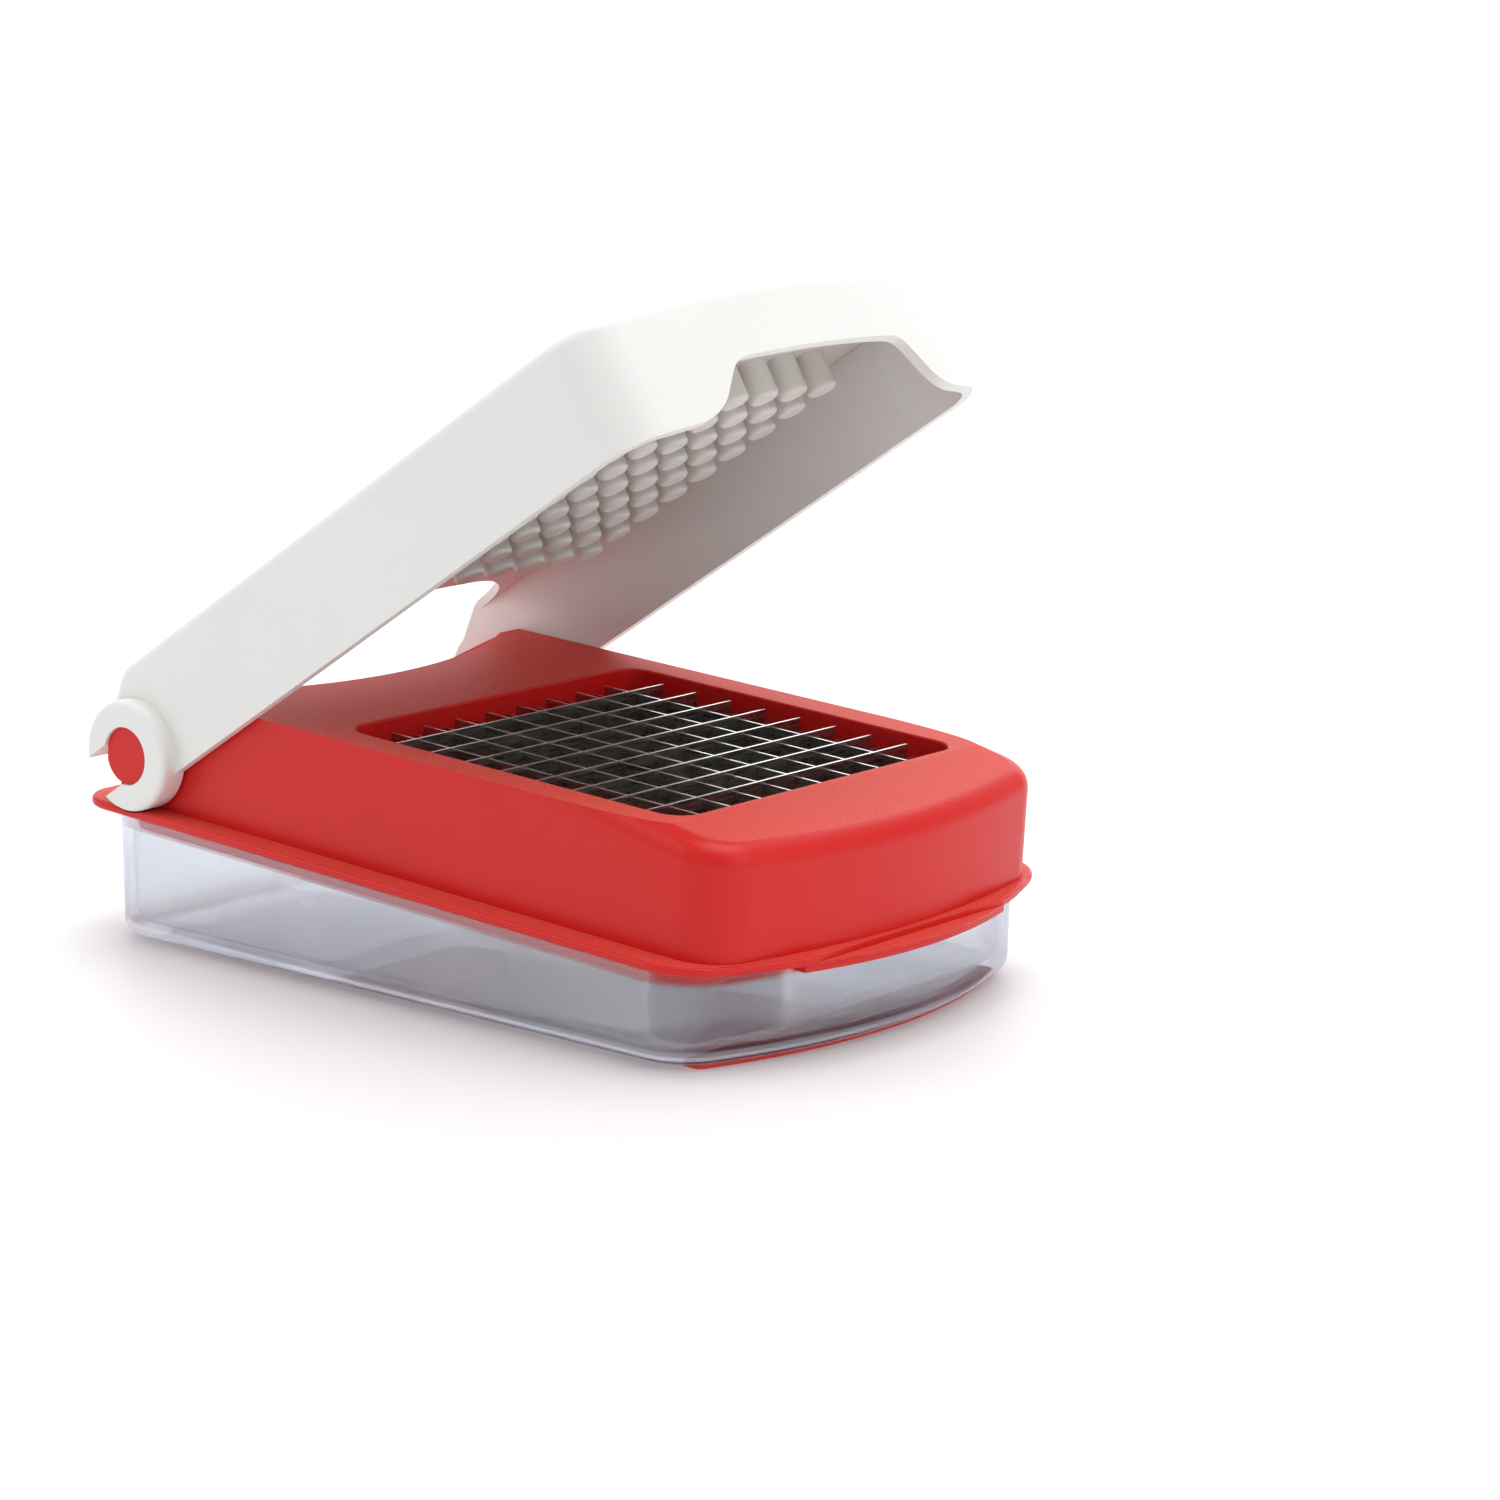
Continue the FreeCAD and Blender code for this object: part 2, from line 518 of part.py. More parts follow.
def make_base_frame():
    """Red blade frame: deck block on a flange, hinge cheeks and pins."""
    body = new_body("base_frame")
    flange = new_sketch(body, "XY_Plane", "flange_plan", "flange_low")
    outline(flange, "flange_half", "flange_rear", "flange_apex", "flange_front_round",
            "flange_corner", "flange_back_round")
    pad(body, flange, "flange", "Sizes.flange_top - Sizes.flange_low")
    round_edges(body, "flange_rounding", "flange_edge", lambda box: box.ZLength < 0.01)

    # Middle of the front: the flange top is lowered and a thin lip hangs below.
    lowered = new_sketch(body, "XY_Plane", "front_lip_top", "flange_top")
    rectangle(lowered, "deck_front_start", "flange_beyond", "-front_lip_half", "front_lip_half")
    pocket(body, lowered, "front_lip_step_down", "Sizes.front_lip_step")
    hanging = new_sketch(body, "XY_Plane", "front_lip_plan", "flange_low")
    half = size("front_lip_half")
    arcs = []
    for apex, bow in (("front_lip_apex", "front_lip_round"), ("lip_outer_apex", "flange_front_round")):
        swing = math.asin(half / size(bow))
        arcs.append(add_arc(hanging, (size(apex) - size(bow), 0), size(bow), -swing, swing))
    inner, outer = arcs
    reach = [size("front_lip_apex") - size("front_lip_round"),
             size("lip_outer_apex") - size("flange_front_round")]
    ends = [reach[0] + math.sqrt(size("front_lip_round") ** 2 - half ** 2),
            reach[1] + math.sqrt(size("flange_front_round") ** 2 - half ** 2)]
    near = add_line(hanging, (ends[0], -half), (ends[1], -half))
    far = add_line(hanging, (ends[1], half), (ends[0], half))
    for first, second in (((inner, 1), (near, 1)), ((near, 2), (outer, 1)),
                          ((outer, 2), (far, 1)), ((far, 2), (inner, 2))):
        hanging.addConstraint(Sketcher.Constraint("Coincident", *first, *second))
    for index in (inner, outer, near, far):
        hanging.addConstraint(Sketcher.Constraint("Block", index))
    pad(body, hanging, "front_lip", "Sizes.front_lip_step", reverse=True)

    rib = new_sketch(body, "XY_Plane", "rib_plan", "flange_low")
    outline(rib, "rib_half", "rib_rear", "rib_apex", "rib_front_round",
            "rib_corner", "rib_back_round")
    pad(body, rib, "locating_rib", "Sizes.flange_low - Sizes.rib_low", reverse=True)
    clear = new_sketch(body, "XY_Plane", "rib_inside", "rib_low")
    outline(clear, "cavity_half", "hollow_rear", "rib_inner_apex", "rib_front_round",
            "cavity_corner", "hollow_back_round")
    pocket(body, clear, "rib_hollow", "Sizes.flange_low - Sizes.rib_low", reverse=True)

    deck = new_sketch(body, "XY_Plane", "deck_plan", "flange_low")
    scooped_outline(deck, "deck_half", "deck_apex", "deck_front_round", "deck_corner",
                    "deck_scoop_apex", "deck_scoop_round")
    pad(body, deck, "deck_block", "Sizes.deck_level - Sizes.flange_low")
    cheeks = new_sketch(body, "XY_Plane", "cheek_plan", "flange_low")
    rectangle(cheeks, "cheek_rear", "cheek_front", "cheek_inner", "deck_half")
    rectangle(cheeks, "cheek_rear", "cheek_front", "-deck_half", "-cheek_inner")
    pad(body, cheeks, "cheeks", "Sizes.deck_level - Sizes.flange_low")
    tails = new_sketch(body, "XZ_Plane", "cheek_slope")
    polygon(tails, [("cheek_slope_start", "deck_level"), ("cheek_slope_start", "sky"),
                    ("cheek_beyond", "sky"), ("cheek_beyond", "cheek_tail")])
    pocket_through(body, tails, "cheek_slopes")
    slope = new_sketch(body, "XZ_Plane", "front_slope")
    polygon(slope, [("slope_start", "deck_level"), ("flange_beyond", "front_drop_beyond"),
                    ("flange_beyond", "sky"), ("slope_start", "sky")])
    pocket_through(body, slope, "front_slope_cut")

    side = size("deck_half")
    scoop_end = size("cheek_front")

    def on_crest(box):
        high = box.ZMin > size("front_drop") - 1.6
        outside = box.YMax > side - 0.1 or box.YMin < 0.1 - side
        front = box.XMin > size("slope_start") + 5.0 and box.XMax > size("deck_apex") - 20.0
        along = box.XLength > 1.0 and box.YLength < 0.01 and box.XMin > scoop_end
        return high and ((outside and along) or (front and box.YLength > 1.0))

    round_edges(body, "crest", "crest_round", on_crest)

    chamber = new_sketch(body, "XY_Plane", "chamber_plan", "deck_level")
    rectangle(chamber, "-opening_half", "opening_half", "-opening_half", "opening_half")
    pocket(body, chamber, "blade_chamber", "Sizes.deck_level - Sizes.rib_low")
    inside = size("opening_half")
    round_edges(body, "chamber_corners", "opening_round",
                lambda box: box.XLength < 0.01 and box.YLength < 0.01 and box.ZLength > 10.0
                and abs(abs(box.XMin) - inside) < 0.01 and abs(abs(box.YMin) - inside) < 0.01)
    round_edges(body, "chamber_lip", "lip_round",
                lambda box: flat_at(box, size("deck_level")) and box.XMin > -inside - 0.01
                and box.XMax < inside + 0.01 and box.YMin > -inside - 0.01
                and box.YMax < inside + 0.01)

    # Hollow underside, kept inside the locating rib.
    hollow = new_sketch(body, "XY_Plane", "hollow_plan", "rib_low")
    scooped_outline(hollow, "cavity_half", "cavity_apex", "cavity_front_round",
                    "cavity_corner", "cavity_scoop_apex", "cavity_scoop_round")
    pocket(body, hollow, "underside", "Sizes.cavity_roof - Sizes.rib_low", reverse=True)
    cells = new_sketch(body, "XY_Plane", "cell_plan", "cavity_roof")
    rectangle(cells, "cell_wall", "front_cell_end", "-cell_half", "cell_half")
    rectangle(cells, "rear_cell_end", "-cell_wall", "-cell_half", "cell_half")
    pocket(body, cells, "cells", "Sizes.cell_roof - Sizes.cavity_roof", reverse=True)

    # Frame slots that hold the blade ends.
    cross = new_sketch(body, "XY_Plane", "cross_slot", "shoulder_top")
    rectangle(cross, "first_slot_low", "first_slot_high", "-blade_reach", "blade_reach")
    cut = pocket(body, cross, "cross_slots_first", "Sizes.shoulder_top - Sizes.blade_foot")
    pattern(body, cut, "cross_slots", cross, "H_Axis", "Sizes.slot_span", "Sizes.blade_count")
    along = new_sketch(body, "XY_Plane", "long_slot", "shoulder_top")
    rectangle(along, "-blade_reach", "blade_reach", "first_slot_low", "first_slot_high")
    cut = pocket(body, along, "long_slots_first", "Sizes.shoulder_top - Sizes.blade_foot")
    pattern(body, cut, "long_slots", along, "V_Axis", "Sizes.slot_span", "Sizes.blade_count")

    # Hinge pins outside the cheeks, flat at the rear and below.
    pins = new_sketch(body, "XZ_Plane", "pin_profile", "pin_root")
    radius = size("pin_round")
    flat = size("pin_flat")
    swing = math.acos(flat / radius)
    centre = (size("hinge_x"), size("hinge_z"))
    rear_low = math.pi + swing
    low_rear = 1.5 * math.pi - swing
    low_front = 1.5 * math.pi + swing
    rear_high = math.pi - swing
    add_arc(pins, centre, radius, low_front - 2 * math.pi, rear_high)
    add_arc(pins, centre, radius, rear_low, low_rear)

    def on_pin(angle):
        return centre[0] + radius * math.cos(angle), centre[1] + radius * math.sin(angle)

    add_line(pins, on_pin(rear_high), on_pin(rear_low))
    add_line(pins, on_pin(low_rear), on_pin(low_front))
    for first, second in (((0, 2), (2, 1)), ((2, 2), (1, 1)), ((1, 2), (3, 1)), ((3, 2), (0, 1))):
        pins.addConstraint(Sketcher.Constraint("Coincident", *first, *second))
    for index in range(4):
        pins.addConstraint(Sketcher.Constraint("Block", index))
    pin = pad(body, pins, "near_pin", "Sizes.pin_end - Sizes.pin_root")
    grooves = new_sketch(body, "XZ_Plane", "relief_profile", "deck_half_clear")
    circle(grooves, "hinge_x", "hinge_z", "relief_round")
    circle(grooves, "hinge_x", "hinge_z", "relief_inner")
    groove = pocket(body, grooves, "near_relief", "Sizes.relief_end - Sizes.deck_half_clear",
                    reverse=True)
    mirror(body, [pin, groove], "far_hinge")
    body.Placement = deck_placement()
    return body


def make_blade(label, plane, top, slot_low, slot_high, level):
    """Stainless strip with lowered ends and eight half-lap slots."""
    body = new_body(label)
    side = new_sketch(body, plane, label + "_profile", level)
    polygon(side, [("-blade_reach", "blade_foot"), ("blade_reach", "blade_foot"),
                   ("blade_reach", "shoulder_top"), ("blade_land", "shoulder_top"),
                   ("blade_land", top), ("-blade_land", top),
                   ("-blade_land", "shoulder_top"), ("-blade_reach", "shoulder_top")])
    strip = pad(body, side, label + "_strip", "Sizes.blade_thick")
    strip.Midplane = True
    notch = new_sketch(body, plane, label + "_notch", level)
    rectangle(notch, "first_slot_low", "first_slot_high", slot_low, slot_high)
    cut = pocket_through(body, notch, label + "_slot")
    pattern(body, cut, label + "_slots", notch, "H_Axis", "Sizes.slot_span",
            "Sizes.blade_count")
    return body


def make_blades():
    """Eight cross blades slotted from below, eight long blades from above."""
    blades = []
    for index in range(int(size("blade_count"))):
        number = index + 1
        offset = (index - 3.5) * size("pitch")
        cross = make_blade("cross_blade_%d" % number, "YZ_Plane", "cross_top",
                           "below_blades", "lap_level", None)
        cross.Placement = deck_placement() * FreeCAD.Placement(
            FreeCAD.Vector(offset, 0, 0), FreeCAD.Rotation())
        along = make_blade("long_blade_%d" % number, "XZ_Plane", "long_top",
                           "lap_level", "above_blades", None)
        along.Placement = deck_placement() * FreeCAD.Placement(
            FreeCAD.Vector(0, offset, 0), FreeCAD.Rotation())
        blades += [cross, along]
    return blades


def make_lid_shell():
    """White lid: top, skirt with a finger notch, and two arms ending in hooks."""
    body = new_body("lid_shell")
    plan = new_sketch(body, "XY_Plane", "lid_plan", "lid_low")
    outline(plan, "lid_half", "hook_beyond", "lid_apex", "lid_front_round",
            "lid_corner", "tiny_round")
    pad(body, plan, "lid_blank", "Sizes.lid_top - Sizes.lid_low")
    ends = new_sketch(body, "XZ_Plane", "arm_end_profile")
    polygon(ends, [("lid_rear", "relief_below"), ("lid_rear", "arm_shoulder_z"),
                   ("arm_shoulder_x", "lid_top"), ("arm_shoulder_x", "sky"),
                   ("arm_beyond", "sky"), ("arm_beyond", "relief_below")])
    pocket_through(body, ends, "arm_ends")
    top = size("lid_top")
    rear = size("lid_rear")
    round_edges(body, "arm_rounding", "arm_round",
                lambda box: box.XLength < 0.01 and box.ZLength < 0.01
                and box.YLength > 90.0 and box.ZMin > size("lid_low") + 1.0)
    round_edges(body, "lid_top_edge", "lid_edge",
                lambda box: flat_at(box, top) and box.XMax > rear + 20.0)
    inside = new_sketch(body, "XY_Plane", "lid_inside", "lid_low")
    outline(inside, "lid_inner_half", "lid_inner_rear", "lid_inner_apex",
            "lid_inner_round", "lid_inner_corner", "tiny_round")
    pocket(body, inside, "lid_hollow", "Sizes.lid_under - Sizes.lid_low", reverse=True)
    gap = new_sketch(body, "XY_Plane", "arm_gap_plan", "lid_top")
    rounded_slot(gap, "lid_inner_rear", "gap_front", "lid_inner_half", "gap_round")
    pocket(body, gap, "arm_gap", "Sizes.lid_top - Sizes.lid_low")

    notch = new_sketch(body, "YZ_Plane", "notch_profile", "notch_start")
    polygon(notch, [("-notch_half_low", "lid_low"), ("notch_half_low", "lid_low"),
                    ("notch_half_top", "notch_top"), ("-notch_half_top", "notch_top")])
    pocket(body, notch, "finger_notch", "Sizes.lid_apex", reverse=True)
    low = size("lid_low")
    roof = size("notch_top")

    def across_skirt(box, level):
        side = abs(box.YMin) < size("notch_half_low") + 1.0 and box.YLength < 1.5
        return side and flat_at(box, level) and 0.5 < box.XLength < 4.0

    round_edges(body, "notch_rounding", "notch_round", lambda box: across_skirt(box, roof))
    round_edges(body, "notch_foot_rounding", "notch_foot_round",
                lambda box: across_skirt(box, low))

    hook = new_sketch(body, "XZ_Plane", "hook_profile", "lid_inner_half")
    circle(hook, "hinge_x", "hinge_z", "hook_round")
    boss = pad(body, hook, "near_hook", "Sizes.hook_end - Sizes.lid_inner_half")
    bore = new_sketch(body, "XZ_Plane", "bore_profile", "hook_end")
    circle(bore, "hinge_x", "hinge_z", "hook_bore")
    hole = pocket(body, bore, "near_bore", "Sizes.hook_end - Sizes.deck_half_clear")
    mouth = new_sketch(body, "XZ_Plane", "mouth_profile", "hook_end")
    rectangle(mouth, "hook_beyond", "hinge_x", "mouth_low", "mouth_high")
    slot = pocket(body, mouth, "near_mouth", "Sizes.hook_end - Sizes.deck_half_clear")
    mirror(body, [boss, hole, slot], "far_hook")
    end = size("hook_end")
    round_edges(body, "hook_rim", "hook_edge",
                lambda box: box.YLength < 0.2 and abs(abs(box.YMin) - end) < 0.2
                and box.XMax > size("hinge_x") + size("hook_bore") + 2.0)
    body.Placement = lid_placement()
    return body


def make_pusher_plate():
    """Plate with nine rows of nine pegs, fixed under the lid top."""
    body = new_body("pusher_plate")
    plan = new_sketch(body, "XY_Plane", "plate_plan", "plate_low")
    outline(plan, "plate_half", "plate_rear", "plate_apex", "plate_front_round",
            "plate_corner", "plate_back_round")
    pad(body, plan, "plate", "Sizes.lid_under - Sizes.plate_low")
    tips = new_sketch(body, "XY_Plane", "peg_plan", "peg_tip")
    circle(tips, "peg_start", "peg_start", "peg_round")
    pad(body, tips, "first_peg", "Sizes.plate_low - Sizes.peg_tip", draft="Sizes.peg_taper")
    level = size("peg_tip")
    rounding = round_edges(body, "peg_end", "peg_edge", lambda box: flat_at(box, level))
    peg = body.getObject("first_peg")
    rows = body.newObject("PartDesign::MultiTransform", "all_pegs")
    rows.Originals = [peg, rounding]
    along = body.newObject("PartDesign::LinearPattern", "peg_rows")
    along.Direction = (tips, ["H_Axis"])
    along.setExpression("Length", "Sizes.peg_span")
    along.Occurrences = 9
    across = body.newObject("PartDesign::LinearPattern", "peg_columns")
    across.Direction = (tips, ["V_Axis"])
    across.setExpression("Length", "Sizes.peg_span")
    across.Occurrences = 9
    rows.Transformations = [along, across]
    body.Tip = rows
    doc.recompute()
    body.Placement = lid_placement()
    return body


bodies = [make_container(), make_front_foot(), make_base_frame()]
bodies += make_blades()
bodies += [make_lid_shell(), make_pusher_plate()]
doc.recompute()

for item in doc.Objects:
    if "Invalid" in item.State or "Error" in item.State:
        raise ValueError("%s is %s" % (item.Name, item.State))
os.makedirs("parts", exist_ok=True)
for body in bodies:
    shape = body.Shape
    if shape.isNull() or not shape.isValid():
        raise ValueError(body.Label + " has no valid shape")
    shape.exportStep("parts/%s.step" % body.Label)
    box = shape.BoundBox
    print("%-16s solids %d  volume %9.1f  x %7.1f %7.1f  y %6.1f %6.1f  z %6.1f %6.1f" % (
        body.Label, len(shape.Solids), shape.Volume, box.XMin, box.XMax,
        box.YMin, box.YMax, box.ZMin, box.ZMax))
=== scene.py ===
import json
import math
import bmesh
import bpy
from mathutils import Euler, Matrix, Vector


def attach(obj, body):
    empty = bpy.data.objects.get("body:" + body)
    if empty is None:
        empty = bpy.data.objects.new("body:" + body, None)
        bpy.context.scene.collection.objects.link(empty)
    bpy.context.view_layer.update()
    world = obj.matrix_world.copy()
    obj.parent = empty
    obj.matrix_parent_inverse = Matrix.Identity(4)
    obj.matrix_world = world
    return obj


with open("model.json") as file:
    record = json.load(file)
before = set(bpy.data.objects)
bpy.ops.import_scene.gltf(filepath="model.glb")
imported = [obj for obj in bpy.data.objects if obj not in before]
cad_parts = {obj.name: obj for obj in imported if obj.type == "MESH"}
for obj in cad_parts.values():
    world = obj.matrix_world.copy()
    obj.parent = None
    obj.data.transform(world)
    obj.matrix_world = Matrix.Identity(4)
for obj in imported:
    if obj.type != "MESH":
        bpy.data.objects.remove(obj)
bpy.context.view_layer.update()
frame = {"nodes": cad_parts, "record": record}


def linear(code):
    """Linear colour with alpha from an sRGB hex code."""
    channels = [int(code[start:start + 2], 16) / 255 for start in (0, 2, 4)]
    return [c / 12.92 if c <= 0.04045 else ((c + 0.055) / 1.055) ** 2.4 for c in channels] + [1.0]


def add_node(tree, kind, links=None, **settings):
    """Adds one shader node.  Settings name its attributes or, as in_NAME or
    in_NUMBER, its inputs; links maps an input to the output that feeds it."""
    node = tree.nodes.new(kind)
    for key, value in settings.items():
        if key.startswith("in_"):
            name = key[3:].replace("_", " ")
            socket = node.inputs[int(name)] if name.isdigit() else node.inputs[name]
            socket.default_value = value
        else:
            setattr(node, key, value)
    for target, source in (links or {}).items():
        tree.links.new(source, node.inputs[target])
    return node


def new_material(name):
    """Empty node material with an output; returns material, tree and output."""
    material = bpy.data.materials.new(name)
    material.use_nodes = True
    material.node_tree.nodes.clear()
    output = material.node_tree.nodes.new("ShaderNodeOutputMaterial")
    return material, material.node_tree, output


def paint(material, *names):
    """Gives CAD nodes their finish through their material slots."""
    for name in names:
        slots = frame["nodes"][name].data.materials
        for index in range(len(slots)):
            slots[index] = material


# ---- Red blade frame. One injection moulding in satin red ABS; the front
# strip and rear deck carry a spark-eroded matt grain, the sides are smoother.
# The grain on upward faces is painted a lighter salmon, a painted sheen.
red_body = linear("CC1512")
red_bright = linear("D61B17")
# The salmon grain colour below is partly the grain and partly a painted sheen of the lights.
red_grain_sheen = linear("E2604F")
grain_size = 0.0005
material, tree, output = new_material("red ABS, satin sides and grained deck with painted sheen")
place = add_node(tree, "ShaderNodeTexCoord")
normal = add_node(tree, "ShaderNodeNewGeometry")
split = add_node(tree, "ShaderNodeSeparateXYZ", {0: normal.outputs["True Normal"]})
upward = add_node(tree, "ShaderNodeMapRange", {0: split.outputs["Z"]},
                  in_1=0.955, in_2=0.985, interpolation_type="SMOOTHSTEP")
clouds = add_node(tree, "ShaderNodeTexNoise", {"Vector": place.outputs["Object"]},
                  in_Scale=28.0, in_Detail=3.0, in_Roughness=0.5)
grain = add_node(tree, "ShaderNodeTexNoise", {"Vector": place.outputs["Object"]},
                 in_Scale=1.0 / grain_size, in_Detail=2.0, in_Roughness=0.6)
base_mix = add_node(tree, "ShaderNodeMix", {0: clouds.outputs["Fac"]}, data_type="RGBA")
base_mix.inputs[6].default_value = red_body
base_mix.inputs[7].default_value = red_bright
# Painted sheen: upward faces take the lighter salmon in the grain, standing in for the lights'
# glossy reflection on the deck.
grain_sheen_fac = add_node(tree, "ShaderNodeMath", {0: grain.outputs["Fac"], 1: upward.outputs[0]},
                     operation="MULTIPLY")
painted_sheen_mix = add_node(tree, "ShaderNodeMix", {0: grain_sheen_fac.outputs[0], 6: base_mix.outputs[2]},
                   data_type="RGBA")
painted_sheen_mix.inputs[7].default_value = red_grain_sheen
rough = add_node(tree, "ShaderNodeMapRange", {0: upward.outputs[0]}, in_3=0.36, in_4=0.58)
bump_height = add_node(tree, "ShaderNodeMapRange", {0: upward.outputs[0]}, in_3=0.03, in_4=0.55)
bump = add_node(tree, "ShaderNodeBump", {"Height": grain.outputs["Fac"],
                                         "Strength": bump_height.outputs[0]},
                in_Distance=0.00025)
shader = add_node(tree, "ShaderNodeBsdfPrincipled",
                  {"Base Color": painted_sheen_mix.outputs[2], "Roughness": rough.outputs[0],
                   "Normal": bump.outputs[0]},
                  in_IOR=1.53, in_Specular_IOR_Level=0.3)
tree.links.new(shader.outputs[0], output.inputs["Surface"])
paint(material, "base_frame")

# ---- Strip blades.  Stainless spring strip, rolled along its length with a
# fine lengthwise grain, half-lapped into each other and moulded into the frame.
steel_dark = linear("8E8B86")
steel_light = linear("C9C6C1")
# The near-white top-edge colour below is a painted highlight.
steel_painted_highlight = linear("F4F2EE")
for label, stretch, pieces in (
        ("cross blades", (1600.0, 90.0, 1600.0), ["cross_blade_%d" % n for n in range(1, 9)]),
        ("long blades", (90.0, 1600.0, 1600.0), ["long_blade_%d" % n for n in range(1, 9)])):
    material, tree, output = new_material("rolled stainless strip, " + label)
    place = add_node(tree, "ShaderNodeTexCoord")
    run = add_node(tree, "ShaderNodeMapping", {"Vector": place.outputs["Object"]},
                   in_Scale=stretch)
    streaks = add_node(tree, "ShaderNodeTexNoise", {"Vector": run.outputs[0]},
                       in_Scale=1.0, in_Detail=3.0, in_Roughness=0.65)
    tone = add_node(tree, "ShaderNodeMix", {0: streaks.outputs["Fac"]}, data_type="RGBA")
    tone.inputs[6].default_value = steel_dark
    tone.inputs[7].default_value = steel_light
    # Painted highlight: faces turned upward, the blades' top edges, are painted near-white where
    # the lights catch them.
    facing = add_node(tree, "ShaderNodeNewGeometry")
    split = add_node(tree, "ShaderNodeSeparateXYZ", {0: facing.outputs["True Normal"]})
    painted_highlight = add_node(tree, "ShaderNodeMapRange", {0: split.outputs["Z"]},
                      in_1=0.6, in_2=0.8)
    edge = add_node(tree, "ShaderNodeMix", {0: painted_highlight.outputs[0], 6: tone.outputs[2]},
                    data_type="RGBA")
    edge.inputs[7].default_value = steel_painted_highlight
    rough = add_node(tree, "ShaderNodeMapRange", {0: streaks.outputs["Fac"]},
                     in_1=0.3, in_2=0.7, in_3=0.22, in_4=0.38)
    bump = add_node(tree, "ShaderNodeBump", {"Height": streaks.outputs["Fac"]},
                    in_Strength=0.15, in_Distance=0.00003)
    shader = add_node(tree, "ShaderNodeBsdfPrincipled",
                      {"Base Color": edge.outputs[2], "Roughness": rough.outputs[0],
                       "Normal": bump.outputs[0]}, in_Metallic=1.0)
    tree.links.new(shader.outputs[0], output.inputs["Surface"])
    paint(material, *pieces)

# ---- Lid.  White satin polypropylene moulding with a faint mould grain and
# a little light passing into the surface.
lid_tone = linear("EDEDEA")
lid_shade = linear("E5E5E2")
material, tree, output = new_material("white satin polypropylene")
place = add_node(tree, "ShaderNodeTexCoord")
clouds = add_node(tree, "ShaderNodeTexNoise", {"Vector": place.outputs["Object"]},
                  in_Scale=22.0, in_Detail=3.0)
grain = add_node(tree, "ShaderNodeTexNoise", {"Vector": place.outputs["Object"]},
                 in_Scale=1400.0, in_Detail=2.0)
tone = add_node(tree, "ShaderNodeMix", {0: clouds.outputs["Fac"]}, data_type="RGBA")
tone.inputs[6].default_value = lid_shade
tone.inputs[7].default_value = lid_tone
rough = add_node(tree, "ShaderNodeMapRange", {0: clouds.outputs["Fac"]},
                 in_1=0.3, in_2=0.7, in_3=0.36, in_4=0.44)
bump = add_node(tree, "ShaderNodeBump", {"Height": grain.outputs["Fac"]},
                in_Strength=0.12, in_Distance=0.00005)
shader = add_node(tree, "ShaderNodeBsdfPrincipled",
                  {"Base Color": tone.outputs[2], "Roughness": rough.outputs[0],
                   "Normal": bump.outputs[0]},
                  in_IOR=1.49, in_Subsurface_Weight=0.05, in_Subsurface_Scale=0.002)
tree.links.new(shader.outputs[0], output.inputs["Surface"])
paint(material, "lid_shell")

# ---- Witness lines.  A fine raised line down the inside of each side skirt,
# left in the same white resin where two inserts of the lid mould meet.
line_width = 0.0005
line_depth = 0.00035
line_ahead = 0.1364
line_low = -0.0038
line_high = 0.0121
skirt_inside = 0.0533
hinge = next(joint for joint in frame["record"]["behaviour"]["joints"]
             if joint["name"] == "lid_hinge")
deck_lean = math.radians(2.94)
lid_angle = deck_lean - math.radians(36.4)
to_lid = (Matrix.Translation(Vector(hinge["pos_m"]))
          @ Matrix.Rotation(lid_angle, 4, "Y"))
bm = bmesh.new()
for side in (-1.0, 1.0):
    bar = bmesh.ops.create_cube(bm, size=1.0)["verts"]
    bmesh.ops.scale(bm, verts=bar, vec=(line_width, line_depth * 2, line_high - line_low))
    bmesh.ops.translate(bm, verts=bar, vec=(line_ahead, side * skirt_inside,
                                            (line_high + line_low) / 2))
bmesh.ops.transform(bm, matrix=to_lid, verts=bm.verts)
bmesh.ops.bevel(bm, geom=bm.edges[:], offset=0.0001, affect="EDGES", segments=2,
                profile=0.5, material=-1)
mesh = bpy.data.meshes.new("skirt_witness_lines")
bm.to_mesh(mesh)
bm.free()
lines = bpy.data.objects.new("skirt_witness_lines", mesh)
bpy.context.scene.collection.objects.link(lines)
mesh.materials.append(material)
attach(lines, "lid")

# ---- Pusher plate and pegs. The same white resin, its tone and gloss
# varying in soft random blotches.
peg_tone = linear("E7E5E0")
peg_shade = linear("D6D3CC")
material, tree, output = new_material("white moulded pegs")
place = add_node(tree, "ShaderNodeTexCoord")
clouds = add_node(tree, "ShaderNodeTexNoise", {"Vector": place.outputs["Object"]},
                  in_Scale=60.0, in_Detail=4.0)
tone = add_node(tree, "ShaderNodeMix", {0: clouds.outputs["Fac"]}, data_type="RGBA")
tone.inputs[6].default_value = peg_shade
tone.inputs[7].default_value = peg_tone
rough = add_node(tree, "ShaderNodeMapRange", {0: clouds.outputs["Fac"]},
                 in_1=0.3, in_2=0.7, in_3=0.3, in_4=0.42)
bump = add_node(tree, "ShaderNodeBump", {"Height": clouds.outputs["Fac"]},
                in_Strength=0.05, in_Distance=0.0002)
shader = add_node(tree, "ShaderNodeBsdfPrincipled",
                  {"Base Color": tone.outputs[2], "Roughness": rough.outputs[0],
                   "Normal": bump.outputs[0]},
                  in_IOR=1.49, in_Subsurface_Weight=0.05, in_Subsurface_Scale=0.001)
tree.links.new(shader.outputs[0], output.inputs["Surface"])
paint(material, "pusher_plate")

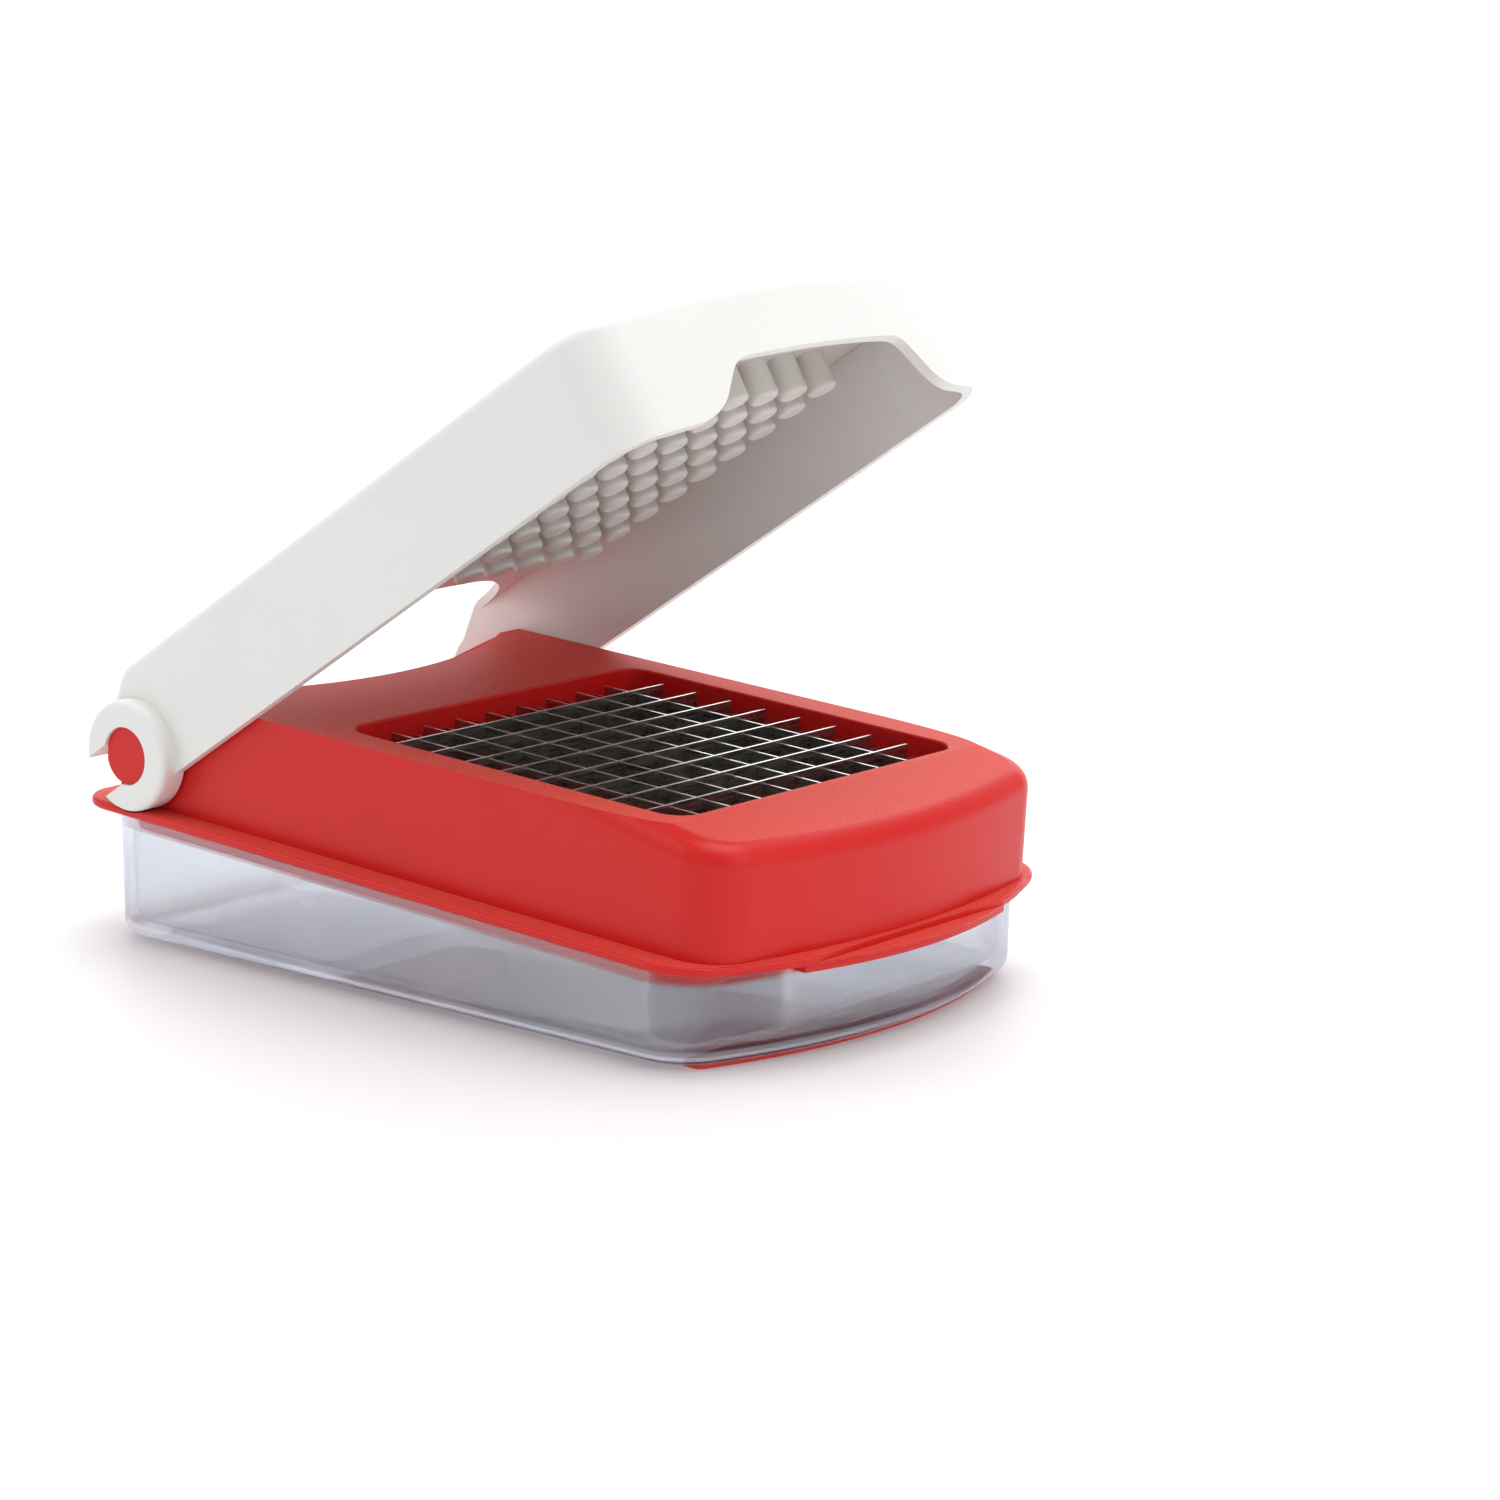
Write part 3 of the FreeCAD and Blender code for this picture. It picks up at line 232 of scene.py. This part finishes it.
# ---- Container.  Clear SAN plastic, polished inside and out, with a cool
# tint through the thick edges and faint handling marks.
clear_tone = linear("FCFDFE")
edge_tone = linear("DFE3EC")
straight_through = 0.6
material, tree, output = new_material("clear polished SAN plastic")
place = add_node(tree, "ShaderNodeTexCoord")
marks = add_node(tree, "ShaderNodeTexNoise", {"Vector": place.outputs["Object"]},
                 in_Scale=45.0, in_Detail=5.0, in_Roughness=0.6)
rough = add_node(tree, "ShaderNodeMapRange", {0: marks.outputs["Fac"]},
                 in_1=0.35, in_2=0.75, in_3=0.015, in_4=0.05)
rim = add_node(tree, "ShaderNodeLayerWeight", in_Blend=0.35)
tone = add_node(tree, "ShaderNodeMix", {0: rim.outputs["Facing"]}, data_type="RGBA")
tone.inputs[6].default_value = clear_tone
tone.inputs[7].default_value = edge_tone
shader = add_node(tree, "ShaderNodeBsdfPrincipled",
                  {"Base Color": tone.outputs[2], "Roughness": rough.outputs[0]},
                  in_IOR=1.56, in_Transmission_Weight=1.0)
ray = add_node(tree, "ShaderNodeLightPath")
straight = add_node(tree, "ShaderNodeMath", {0: ray.outputs["Is Shadow Ray"]},
                    operation="MAXIMUM", in_1=straight_through)
clear = add_node(tree, "ShaderNodeBsdfTransparent", {"Color": tone.outputs[2]})
mix = add_node(tree, "ShaderNodeMixShader",
               {0: straight.outputs[0], 1: shader.outputs[0], 2: clear.outputs[0]})
tree.links.new(mix.outputs[0], output.inputs["Surface"])
paint(material, "container")

# ---- Front foot.  Soft red TPE strip bonded under the front of the tub so
# it doesn't slide; matt, with a fine rubbery grain.
foot_tone = linear("C9261D")
foot_dust = linear("D2463B")
material, tree, output = new_material("soft red TPE")
place = add_node(tree, "ShaderNodeTexCoord")
grain = add_node(tree, "ShaderNodeTexNoise", {"Vector": place.outputs["Object"]},
                 in_Scale=700.0, in_Detail=3.0)
tone = add_node(tree, "ShaderNodeMix", {0: grain.outputs["Fac"]}, data_type="RGBA")
tone.inputs[6].default_value = foot_tone
tone.inputs[7].default_value = foot_dust
bump = add_node(tree, "ShaderNodeBump", {"Height": grain.outputs["Fac"]},
                in_Strength=0.3, in_Distance=0.0001)
shader = add_node(tree, "ShaderNodeBsdfPrincipled",
                  {"Base Color": tone.outputs[2], "Normal": bump.outputs[0]},
                  in_Roughness=0.62, in_IOR=1.5)
tree.links.new(shader.outputs[0], output.inputs["Surface"])
paint(material, "front_foot")

# ---- Studio.  Pale seamless sweep: a floor that curves up into a backdrop,
# painted matt white, well clear of the product.
floor_tone = linear("F4F5F6")
floor_patch = linear("F1F2F4")
bm = bmesh.new()
profile = [(0.0, -3.0, 0.0), (0.0, 2.0, 0.0)]
for step in range(1, 13):
    turn = math.pi / 2 * step / 12
    profile.append((0.0, 2.0 + 1.2 * math.sin(turn), 1.2 - 1.2 * math.cos(turn)))
profile.append((0.0, 3.2, 5.0))
rows = []
for across in (-5.0, 5.0):
    rows.append([bm.verts.new((across, y, z)) for _, y, z in profile])
for index in range(len(profile) - 1):
    bm.faces.new((rows[0][index], rows[1][index], rows[1][index + 1], rows[0][index + 1]))
mesh = bpy.data.meshes.new("sweep")
bm.to_mesh(mesh)
bm.free()
for face in mesh.polygons:
    face.use_smooth = True
sweep = bpy.data.objects.new("sweep", mesh)
bpy.context.scene.collection.objects.link(sweep)
sweep.rotation_euler = (0.0, 0.0, math.radians(39.0))
material, tree, output = new_material("matt white sweep")
place = add_node(tree, "ShaderNodeTexCoord")
clouds = add_node(tree, "ShaderNodeTexNoise", {"Vector": place.outputs["Object"]}, in_Scale=1.5)
tone = add_node(tree, "ShaderNodeMix", {0: clouds.outputs["Fac"]}, data_type="RGBA")
tone.inputs[6].default_value = floor_patch
tone.inputs[7].default_value = floor_tone
shader = add_node(tree, "ShaderNodeBsdfPrincipled", {"Base Color": tone.outputs[2]},
                  in_Roughness=0.5)
tree.links.new(shader.outputs[0], output.inputs["Surface"])
mesh.materials.append(material)

# ---- Light.  Large soft boxes above and to both sides over a bright even
# surround, for a bright, even, low-shadow look.
bpy.context.scene.view_settings.view_transform = "Standard"
world = bpy.data.worlds.new("studio")
bpy.context.scene.world = world
world.use_nodes = True
world.node_tree.nodes["Background"].inputs["Color"].default_value = (1.0, 1.0, 1.0, 1.0)
world.node_tree.nodes["Background"].inputs["Strength"].default_value = 0.56
for name, spot, aim, width, height, power in (
        ("overhead soft box", (0.1, 0.25, 1.5), (0.0, 0.0, 0.05), 1.8, 1.4, 19.0),
        ("left soft box", (-1.1, -0.9, 0.9), (0.0, 0.0, 0.06), 1.2, 1.0, 5.5),
        ("right soft box", (1.5, 0.2, 0.8), (0.0, 0.0, 0.06), 1.0, 1.0, 4.0),
        ("backdrop wash", (-0.9, 1.1, 1.6), (-1.7, 2.1, 0.7), 3.0, 0.6, 60.0)):
    lamp = bpy.data.lights.new(name, "AREA")
    lamp.shape = "RECTANGLE"
    lamp.size = width
    lamp.size_y = height
    lamp.energy = power
    holder = bpy.data.objects.new(name, lamp)
    bpy.context.scene.collection.objects.link(holder)
    holder.location = spot
    holder.rotation_euler = (Vector(aim) - Vector(spot)).to_track_quat("-Z", "Y").to_euler()

# ---- Camera.  Long lens from the front corner, slightly above the deck.
lens = bpy.data.cameras.new("camera")
lens.lens = 103.2
lens.sensor_width = 36.0
camera = bpy.data.objects.new("camera", lens)
bpy.context.scene.collection.objects.link(camera)
camera.location = (0.5763, -0.65627, 0.23386)
camera.rotation_euler = Euler([math.radians(a) for a in (77.7676, -0.853, 39.1731)])
bpy.context.scene.camera = camera
